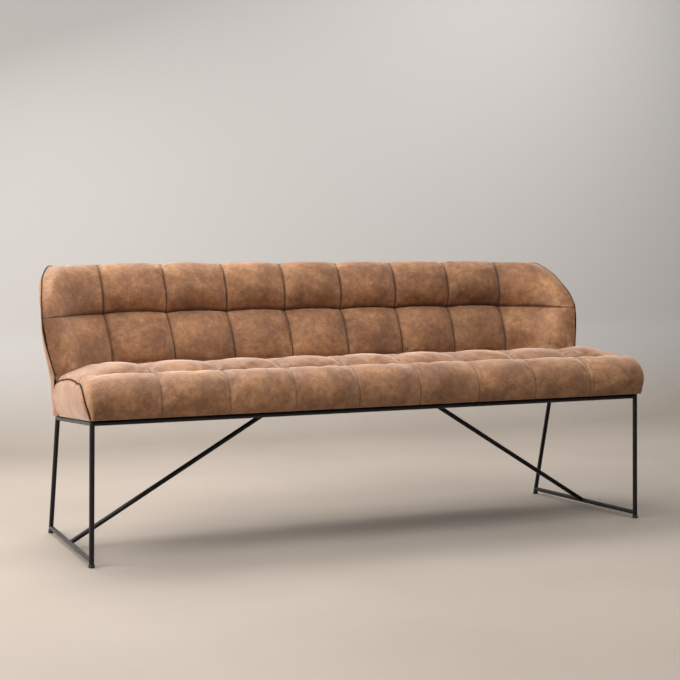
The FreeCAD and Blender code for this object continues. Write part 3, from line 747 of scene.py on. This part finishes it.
def outer_bottom(s):
    """Height in the back's frame where the outer cover ends, level with the underside of the seat.

    Each step divides what is left by 0.97, about the cosine of the angle between the two frames."""
    height = np.full_like(s, outer_bottom_guess)
    for _ in range(8):
        height = height + (outer_hem_height - seat_frame_of(back_place(*outer_place(s, height)))[1]) / 0.97
    return height


outer_ear = np.linspace(0, ear_length, outer_ear_points)
outer_s = np.concatenate([
    last_back_seam + ear_length - outer_ear[:-1],
    np.linspace(last_back_seam, -last_back_seam, outer_back_points),
    -last_back_seam - outer_ear[1:],
])
outer_seams = [outer_ear_points - 1, outer_ear_points + outer_back_points - 2]
outer_share = np.linspace(0, 1, outer_steps + 1)
outer_low = outer_bottom(outer_s)
outer_high = edge_height(outer_s) - tuck(outer_s) + outer_overlap
outer_heights = outer_low[:, None] + (outer_high - outer_low)[:, None] * outer_share[None, :]
outer_cover = back_place(*outer_place(np.broadcast_to(outer_s[:, None], outer_heights.shape), outer_heights))
outer_draw = outer_seam_draw * smooth(np.minimum(outer_share, 1 - outer_share), 0, outer_seam_end)
outer_cover = drawn_in(outer_cover, outer_seams, [], outer_draw)


# Shader nodes

def node(tree, kind, inputs=(), **settings):
    """A shader node with its settings, and its inputs set or linked."""
    made = tree.nodes.new(kind)
    for key, value in settings.items():
        setattr(made, key, value)
    for key, value in dict(inputs).items():
        if isinstance(value, bpy.types.NodeSocket):
            tree.links.new(value, made.inputs[key])
        else:
            made.inputs[key].default_value = value
    return made


def noise(tree, where, scale, detail=4.0, rough=0.55, distortion=0.0):
    """The value of a noise texture."""
    inputs = {"Vector": where, "Scale": scale, "Detail": detail, "Roughness": rough, "Distortion": distortion}
    return node(tree, "ShaderNodeTexNoise", inputs).outputs["Fac"]


def ramp(tree, value, *stops):
    """A value turned into a colour or a grey between stops of place and colour."""
    made = node(tree, "ShaderNodeValToRGB", {"Fac": value})
    elements = made.color_ramp.elements
    while len(elements) < len(stops):
        elements.new(0.5)
    for element, (place, colour) in zip(elements, stops):
        element.position = place
        element.color = (colour, colour, colour, 1) if isinstance(colour, (int, float)) else (*colour, 1)
    return made.outputs["Color"]


def mixed(tree, factor, colour, tint):
    """A linked colour mixed towards a tint by a factor."""
    return node(tree, "ShaderNodeMix", {0: factor, 6: colour, 7: (*tint, 1)}, data_type="RGBA").outputs[2]


def tinted(tree, colour, mask, strength, tint):
    """A colour mixed towards a tint by a strength times a mask."""
    factor = node(tree, "ShaderNodeMath", {0: mask, 1: strength}, operation="MULTIPLY").outputs[0]
    return mixed(tree, factor, colour, tint)


def bumped(tree, height, strength, distance, normal=None):
    """A normal bent by a height."""
    inputs = {"Height": height, "Strength": strength, "Distance": distance}
    if normal is not None:
        inputs["Normal"] = normal
    return node(tree, "ShaderNodeBump", inputs).outputs["Normal"]


def object_place(tree, scale=(1, 1, 1)):
    """Object coordinates, stretched by a scale."""
    where = node(tree, "ShaderNodeTexCoord").outputs["Object"]
    return node(tree, "ShaderNodeMapping", {"Vector": where, "Scale": scale}).outputs["Vector"]


def new_group(name):
    """An empty shader node group with sockets for colour, roughness and normal, and its output node."""
    group = bpy.data.node_groups.new(name, "ShaderNodeTree")
    sockets = {"Color": "NodeSocketColor", "Roughness": "NodeSocketFloat", "Normal": "NodeSocketVector"}
    for key, kind in sockets.items():
        group.interface.new_socket(name=key, in_out="OUTPUT", socket_type=kind)
    return group, node(group, "NodeGroupOutput")


def leather_group():
    """Worn brown leather: clouds, dark and rubbed patches, painted shade along the seams, grain, pores and
    creases.
    """
    tree, out = new_group("worn_leather")
    where = object_place(tree)
    clouds = noise(tree, where, 9.0, 8, 0.68, 0.3)
    dark_tan, tan, light_tan = (0.165, 0.074, 0.035), (0.265, 0.123, 0.055), (0.4, 0.2, 0.09)
    colour = ramp(tree, clouds, (0.34, dark_tan), (0.5, tan), (0.66, light_tan))
    blotches = noise(tree, where, 50, 9, 0.82, 0.2)
    dark = ramp(tree, blotches, (0.39, 1.0), (0.54, 0.0))
    colour = tinted(tree, colour, dark, 0.5, (0.112, 0.05, 0.028))
    specks = ramp(tree, noise(tree, where, 170, 4, 0.7, 0.2), (0.33, 1.0), (0.47, 0.0))
    colour = tinted(tree, colour, specks, 0.42, (0.105, 0.046, 0.025))
    pale = ramp(tree, blotches, (0.54, 0.0), (0.72, 1.0))
    colour = tinted(tree, colour, pale, 0.5, (0.5, 0.29, 0.165))
    streaks = noise(tree, object_place(tree, (18, 18, 9)), 2.2, 6, 0.7, 0.3)
    rubbed = ramp(tree, streaks, (0.56, 0.0), (0.72, 1.0))
    colour = tinted(tree, colour, rubbed, 0.22, (0.5, 0.3, 0.185))
    # Painted shade: the seam mask darkens the colour along the seams, standing in for the shade in their
    # grooves.
    seam = node(tree, "ShaderNodeAttribute", attribute_name="seam").outputs["Fac"]
    colour = tinted(tree, colour, seam, 0.75, (0.045, 0.018, 0.008))
    tree.links.new(colour, out.inputs["Color"])
    rough = ramp(tree, blotches, (0.3, 0.5), (0.7, 0.68))
    tree.links.new(rough, out.inputs["Roughness"])
    pores = node(tree, "ShaderNodeTexVoronoi", {"Vector": where, "Scale": 520.0}, feature="SMOOTH_F1")
    creases = noise(tree, object_place(tree, (1, 1, 2.2)), 48, 6, 0.6, 1.2)
    normal = bumped(tree, creases, 0.35, 0.003)
    normal = bumped(tree, noise(tree, where, 210, 4, 0.6), 0.3, 0.0012, normal)
    normal = bumped(tree, pores.outputs["Distance"], 0.22, 0.0006, normal)
    tree.links.new(normal, out.inputs["Normal"])
    return tree


def surface_group(name, first, second, scale, stretch=(1, 1, 1), rough=(0.4, 0.6), fine=900.0, depth=0.0003):
    """A plain surface with two cloudy colours, an uneven roughness and a fine bump."""
    tree, out = new_group(name)
    where = object_place(tree, stretch)
    value = noise(tree, where, scale, 5, 0.6, 0.3)
    tree.links.new(ramp(tree, value, (0.35, first), (0.65, second)), out.inputs["Color"])
    tree.links.new(ramp(tree, value, (0.3, rough[0]), (0.7, rough[1])), out.inputs["Roughness"])
    tree.links.new(bumped(tree, noise(tree, where, fine, 3, 0.6), 0.3, depth), out.inputs["Normal"])
    return tree


# Materials

def material_of(name, group, metallic=0.0, sheen=0.0, specular=0.4):
    """A material that takes colour, roughness and normal from a group, with constants on the shader."""
    material = bpy.data.materials.new(name)
    material.use_nodes = True
    tree = material.node_tree
    shader = tree.nodes["Principled BSDF"]
    made = node(tree, "ShaderNodeGroup", node_tree=group)
    for key, socket in (("Color", "Base Color"), ("Roughness", "Roughness"), ("Normal", "Normal")):
        tree.links.new(made.outputs[key], shader.inputs[socket])
    shader.inputs["Metallic"].default_value = metallic
    shader.inputs["Specular IOR Level"].default_value = specular
    if sheen:
        shader.inputs["Sheen Weight"].default_value = sheen
        shader.inputs["Sheen Roughness"].default_value = 0.4
        shader.inputs["Sheen Tint"].default_value = (1.0, 0.84, 0.75, 1)
    return material


def plain(name, group_name, first, second, scale, metallic=0.0, specular=0.4, **surface):
    """A material with a plain surface of its own."""
    group = surface_group(group_name, first, second, scale, **surface)
    return material_of(name, group, metallic=metallic, specular=specular)


worn = leather_group()
leather = material_of("worn_brown_leather", worn, sheen=0.35, specular=0.25)
seat_leather = material_of("brushed_brown_leather", worn, sheen=0.65, specular=0.3)
thread = plain("dark_thread", "thread", (0.024, 0.01, 0.005), (0.045, 0.02, 0.01), 60,
               rough=(0.75, 0.9), fine=700.0, specular=0.05)
piping = plain("dark_piping", "piping", (0.022, 0.009, 0.005), (0.045, 0.02, 0.011), 40,
               rough=(0.7, 0.85), fine=500.0, depth=0.0006, specular=0.15)
steel = plain("black_powder_coat", "powder_coat", (0.004, 0.004, 0.005), (0.007, 0.007, 0.0085), 30,
              rough=(0.24, 0.34), fine=1400.0, depth=0.0002, specular=0.3)
plastic = plain("black_plastic", "moulded_plastic", (0.014, 0.014, 0.014), (0.022, 0.022, 0.022), 60,
                rough=(0.45, 0.6))
zinc = plain("zinc_plate", "zinc", (0.5, 0.5, 0.47), (0.66, 0.66, 0.64), 120,
             rough=(0.25, 0.42), metallic=1.0)
timber = plain("sawn_timber", "timber", (0.42, 0.26, 0.13), (0.62, 0.44, 0.26), 9, stretch=(0.6, 6, 14),
               rough=(0.6, 0.8), fine=200.0, depth=0.0008)
plywood = plain("raw_plywood", "plywood", (0.44, 0.29, 0.16), (0.6, 0.43, 0.26), 7, stretch=(0.5, 8, 5),
                rough=(0.6, 0.8), fine=160.0, depth=0.0006)
webbing = plain("elastic_webbing", "webbing", (0.05, 0.05, 0.052), (0.12, 0.12, 0.12), 240,
                stretch=(1, 0.35, 1), rough=(0.8, 0.95), fine=600.0, depth=0.0008)
foam = plain("open_foam", "foam", (0.66, 0.57, 0.36), (0.8, 0.72, 0.5), 30,
             rough=(0.85, 0.95), fine=420.0, depth=0.0012)
dust_cloth = plain("dust_cloth", "dust_cloth", (0.012, 0.012, 0.012), (0.03, 0.03, 0.03), 320,
                   rough=(0.85, 0.95), fine=900.0, depth=0.0004)


# Padded pieces

# Painted shade along the seams: how far it spreads in grid steps, and how weak it is on the seat's front
# roll.
seam_shade_spread = 0.65
outer_shade_spread = 0.5
front_seam_shade = 0.45
panel_front = -0.019
panel_rear = 0.432
panel_bottom = 0.0004
panel_rows = 13
panel_tuck = 0.4
panel_short_rows = 4


def dress(obj, material, nodes=()):
    """Gives a piece its material, slot and body, and hides the nodes that it stands for."""
    obj.data.materials.append(material)
    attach(obj, "root")
    if nodes:
        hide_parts(*nodes)


def padded_piece(name, points, quads, material, stands_for, seam_shade=None):
    """A padded cover, built, dressed in place of a node of the part and rounded by one subdivision."""
    piece = build(name, points, quads, seam_shade)
    dress(piece, material, [stands_for])
    modifier = piece.modifiers.new("rounded", "SUBSURF")
    modifier.levels = 1
    modifier.render_levels = 1


def side_panel(side):
    """Points of the flat cover on one end of the seat: between the end seam and the bottom edge.

    It leans out as the end of the seat does, stands off it by panel_stand and panel_swell in its middle and
    turns in at its edges. Its rear edge goes behind the outer cover of the back."""
    edge = seat_cover[-1 if side > 0 else 0, seat_marks[1]:seat_marks[5] - panel_short_rows]
    depth = np.linspace(panel_front, panel_rear, len(edge))
    bottom = seat_place(side * core_half_length, depth, np.full(len(edge), panel_bottom))
    share = np.linspace(0, 1, panel_rows)[None, :, None]
    points = bottom[:, None, :] + (edge - bottom)[:, None, :] * share
    along = np.linspace(0, 1, len(edge))[:, None]
    hump = np.maximum(1 - np.abs(2 * share[..., 0] - 1) ** 6, 0) ** 0.5 * np.minimum(1, along * 10) ** 0.7
    hump = hump - panel_tuck * smooth(along, 0.96, 1.0)
    flare = flare_at(seat_frame_of(points)[1])
    points[..., 0] = side * (core_half_length + flare + panel_stand + panel_swell * hump)
    return points if side < 0 else points[::-1]


seat_quads = grid_quads(*seat_shape)
seat_quads = seat_quads[~seat_hidden[seat_quads].all(axis=1)]
# Masks of painted shade along the seams: on the seat only at its columns, fading on its front, and on the
# back and outer cover at all their seams.
shoulder_seam_shade = front_seam_shade + (1 - front_seam_shade) * seat_share
front_shade_fade = np.choose(seat_part, [front_seam_shade, front_seam_shade, shoulder_seam_shade, 1, 1, 1])
seat_seam_shade = seam_closeness(seat_shape, seat_seams[1:-1], [], seam_shade_spread) * front_shade_fade[None, :]
padded_piece("seat_quilting", seat_cover, seat_quads, seat_leather, "seat_quilt", seat_seam_shade)
back_seam_shade = seam_closeness(back_shape, back_seams[1:-1], back_rows, seam_shade_spread)
padded_piece("back_quilting", back_cover, grid_quads(*back_shape), leather, "back_quilt", back_seam_shade)
outer_shape = outer_cover.shape[:2]
outer_seam_shade = seam_closeness(outer_shape, outer_seams, [], outer_shade_spread)
outer_quads = grid_quads(*outer_shape)
padded_piece("outer_cover", outer_cover, outer_quads, leather, "outer_back_cover", outer_seam_shade)
for side, name in ((-1, "left"), (1, "right")):
    panel = side_panel(side)
    quads = grid_quads(*panel.shape[:2])[:, ::-1]
    padded_piece(f"{name}_side_panel", panel, quads, seat_leather, f"{name}_side_cover")


# Seam threads and edge piping

thread_radius = 0.0008
thread_spacing = 0.004
thread_sides = 6
piping_radius = 0.0022
piping_spacing = 0.002
piping_sides = 10
piping_ripple = 0.1
ripple_pitch = 0.005
piping_stand = 0.002
piping_tuck = 0.006
border_stand = 0.0005
border_steps = 40


def resample(path, spacing):
    """Points evenly spaced along a path."""
    length = np.concatenate([[0], np.cumsum(np.linalg.norm(np.diff(path, axis=0), axis=1))])
    places = np.linspace(0, length[-1], max(2, int(length[-1] / spacing)))
    return np.stack([np.interp(places, length, path[:, k]) for k in range(3)], axis=-1)


def tube(path, radius, sides, ripple=0.0):
    """A round cord along a path: at each point a circle square to the path, its radius rippled along it.

    Both ends are closed by a circle of no radius."""
    way = np.gradient(path, axis=0)
    way /= np.linalg.norm(way, axis=1, keepdims=True)
    guide = np.where(np.abs(way[:, 2:3]) > 0.9, [[1.0, 0, 0]], [[0, 0, 1.0]])
    side = np.cross(way, guide)
    side /= np.linalg.norm(side, axis=1, keepdims=True)
    rise = np.cross(side, way)
    turn = np.linspace(0, 2 * math.pi, sides, endpoint=False)
    length = np.concatenate([[0], np.cumsum(np.linalg.norm(np.diff(path, axis=0), axis=1))])
    wave = radius * (1 + ripple * np.sin(2 * math.pi * length / ripple_pitch))
    ring = np.cos(turn)[None, :, None] * side[:, None, :] + np.sin(turn)[None, :, None] * rise[:, None, :]
    points = path[:, None, :] + wave[:, None, None] * ring
    ends = np.repeat(path[[0, -1], None, :], sides, axis=1)
    return np.concatenate([ends[:1], points, ends[1:]]), grid_quads(len(path) + 2, sides, wrap=True)


def thread_along(path):
    """A thread in a seam."""
    return tube(resample(path, thread_spacing), thread_radius, thread_sides)


def piping_along(path):
    """A length of piping, slightly rippled by its stitches."""
    return tube(resample(path, piping_spacing), piping_radius, piping_sides, piping_ripple)


def end_piping(column):
    """Piping along the seam at an end of the seat, with its lower end turned in."""
    line = seat_cover[column, seat_marks[1]:seat_marks[5]].copy()
    tucked = piping_tuck * (1 - smooth(np.arange(len(line)), 0, 2.5))
    line[:, 0] += math.copysign(1, seat_x[column]) * (piping_stand - tucked)
    return piping_along(line)


def border_piping():
    """Piping along the edge of the back: up one ear, over the top and down the other ear."""
    low, heights = edge_heights[0], edge_height(back_s) - tuck(back_s)
    s = np.concatenate([np.full(border_steps, back_s[0]), back_s, np.full(border_steps, back_s[-1])])
    heights = np.concatenate([
        np.linspace(low, heights[0], border_steps + 1)[:-1],
        heights,
        np.linspace(heights[-1], low, border_steps + 1)[1:],
    ])
    return piping_along(back_place(*curl_place(s, border_stand - edge_lead(s, heights), heights)))


threads = [thread_along(back_cover[i, 2:back_marks[4]]) for i in back_seams[1:-1]]
threads.append(thread_along(back_cover[3:-3, back_rows[0]]))
threads += [thread_along(outer_cover[i]) for i in outer_seams]
dress(joined("seam_threads", threads), thread)
dress(joined("edge_piping", [end_piping(0), end_piping(len(seat_x) - 1), border_piping()]), piping)


# Dust cover under the seat

dust_front = -0.004
dust_rear = 0.52
dust_height = 0.0012
dust_sag = 0.0012
dust_columns = 120
dust_rows = 40

dust_depth = np.linspace(dust_front, dust_rear, dust_rows)
dust_half = core_half_length - np.maximum(dust_depth - (dust_rear - rear_corner_chamfer), 0)
dust_x = np.linspace(-1, 1, dust_columns)[:, None] * dust_half[None, :]
dust_wave = np.sin(math.pi * np.linspace(0, 1, dust_rows))[None, :] ** 0.5
dust_fall = -dust_sag * (1 - (dust_x / core_half_length) ** 6) * dust_wave
dust_points = seat_place(dust_x, np.broadcast_to(dust_depth[None, :], dust_x.shape), dust_height + dust_fall)
dust_piece = build("dust_cover_sheet", dust_points, grid_quads(*dust_x.shape)[:, ::-1])
dress(dust_piece, dust_cloth, ["dust_cover"])


# Materials of the part's own nodes

slots = {
    "frame_steel": steel, "glide_plastic": plastic, "plated_steel": zinc, "timber": timber,
    "plywood": plywood, "webbing": webbing, "foam": foam, "dust_cloth": dust_cloth, "cover": leather,
}
for part in frame["record"]["subparts"]:
    obj = frame["nodes"][part["node"]]
    obj.data.materials.clear()
    obj.data.materials.append(slots[part["material_slot"]])


# Floor, which turns up into a wall behind the bench

floor_reach = 30.0
wall_start = 2.6
wall_curve = 0.6
wall_top = 5.0
wall_colour = (0.52, 0.506, 0.492)

wall_turn = np.linspace(0, math.pi / 2, 12)
wall_y = wall_start + wall_curve * np.sin(wall_turn)
floor_y = np.concatenate([[-floor_reach, 0.0], wall_y, wall_y[-1:]])
floor_z = np.concatenate([[0.0, 0.0], wall_curve - wall_curve * np.cos(wall_turn), [wall_top]])
floor_x = np.array([-floor_reach, floor_reach])
floor_points = np.stack(np.broadcast_arrays(floor_x[:, None], floor_y[None, :], floor_z[None, :]), axis=-1)
floor = build("floor", floor_points, grid_quads(2, len(floor_y)))
floor_group = surface_group("pale_floor", (0.355, 0.306, 0.262), (0.382, 0.33, 0.284), 1.5,
                            rough=(0.65, 0.75), fine=60.0, depth=0.0002)
floor_height = node(floor_group, "ShaderNodeSeparateXYZ", {"Vector": object_place(floor_group)}).outputs["Z"]
wall_share = ramp(floor_group, floor_height, (0.02, 0.0), (0.5, 1.0))
floor_out = floor_group.nodes["Group Output"].inputs["Color"]
floor_colour = mixed(floor_group, wall_share, floor_out.links[0].from_socket, wall_colour)
floor_group.links.new(floor_colour, floor_out)
floor.data.materials.append(material_of("pale_floor", floor_group, specular=0.2))


# Light

def lamp(name, place, target, size, power, colour=(1, 1, 1), spread=180):
    """A square soft lamp that looks at a target, its beam spread over an angle in degrees."""
    data = bpy.data.lights.new(name, "AREA")
    data.size = size
    data.energy = power
    data.color = colour
    data.spread = math.radians(spread)
    obj = bpy.data.objects.new(name, data)
    aim = (Vector(target) - Vector(place)).to_track_quat("-Z", "Y").to_matrix().to_4x4()
    obj.matrix_world = Matrix.Translation(place) @ aim
    scene.collection.objects.link(obj)


daylight = (1, 0.97, 0.94)
pale_daylight = (1, 0.98, 0.96)
lamp("window_lamp", (-3.5, -1.7, 3.2), (0, 0, 0.5), size=2.6, power=128, colour=daylight)
lamp("side_lamp", (-4.2, 0.2, 1.4), (-0.9, 0, 0.5), size=1.6, power=125, colour=(1, 0.96, 0.94))
lamp("front_lamp", (0.4, -2.0, 4.0), (0, 0, 0.45), size=2.2, power=73)
lamp("top_lamp", (-0.9, 1.1, 2.9), (0, -0.1, 0.4), size=2.2, power=102, colour=pale_daylight)
lamp("ear_lamp", (2.9, -1.2, 1.3), (-0.93, 0.1, 0.7), size=0.7, power=0.95, colour=daylight, spread=16)
lamp("wall_lamp", (2.6, 1.2, 3.0), (2.2, 3.2, 1.4), size=1.6, power=39, colour=pale_daylight)
world = bpy.data.worlds.new("studio")
scene.world = world
world.use_nodes = True
background = world.node_tree.nodes["Background"]
background.inputs["Color"].default_value = (0.9, 0.95, 1.0, 1)
background.inputs["Strength"].default_value = 0.19


# Camera

camera_place = (-1.5628, -3.8092, 0.6892)
camera_lens = 70.51
yaw, pitch, roll = math.radians(22.18), math.radians(-1.57), math.radians(-1.03)

ahead = Vector((math.sin(yaw) * math.cos(pitch), math.cos(yaw) * math.cos(pitch), math.sin(pitch)))
right = Vector((math.cos(yaw), -math.sin(yaw), 0))
up = right.cross(ahead)
tilt_right = right * math.cos(roll) + up * math.sin(roll)
tilt_up = up * math.cos(roll) - right * math.sin(roll)
camera_data = bpy.data.cameras.new("camera")
camera_data.lens = camera_lens
camera_data.sensor_width = 36.0
camera = bpy.data.objects.new("camera", camera_data)
axes = Matrix((tilt_right, tilt_up, -ahead)).transposed().to_4x4()
camera.matrix_world = Matrix.Translation(camera_place) @ axes
scene.collection.objects.link(camera)
scene.camera = camera
scene.view_settings.view_transform = "Standard"
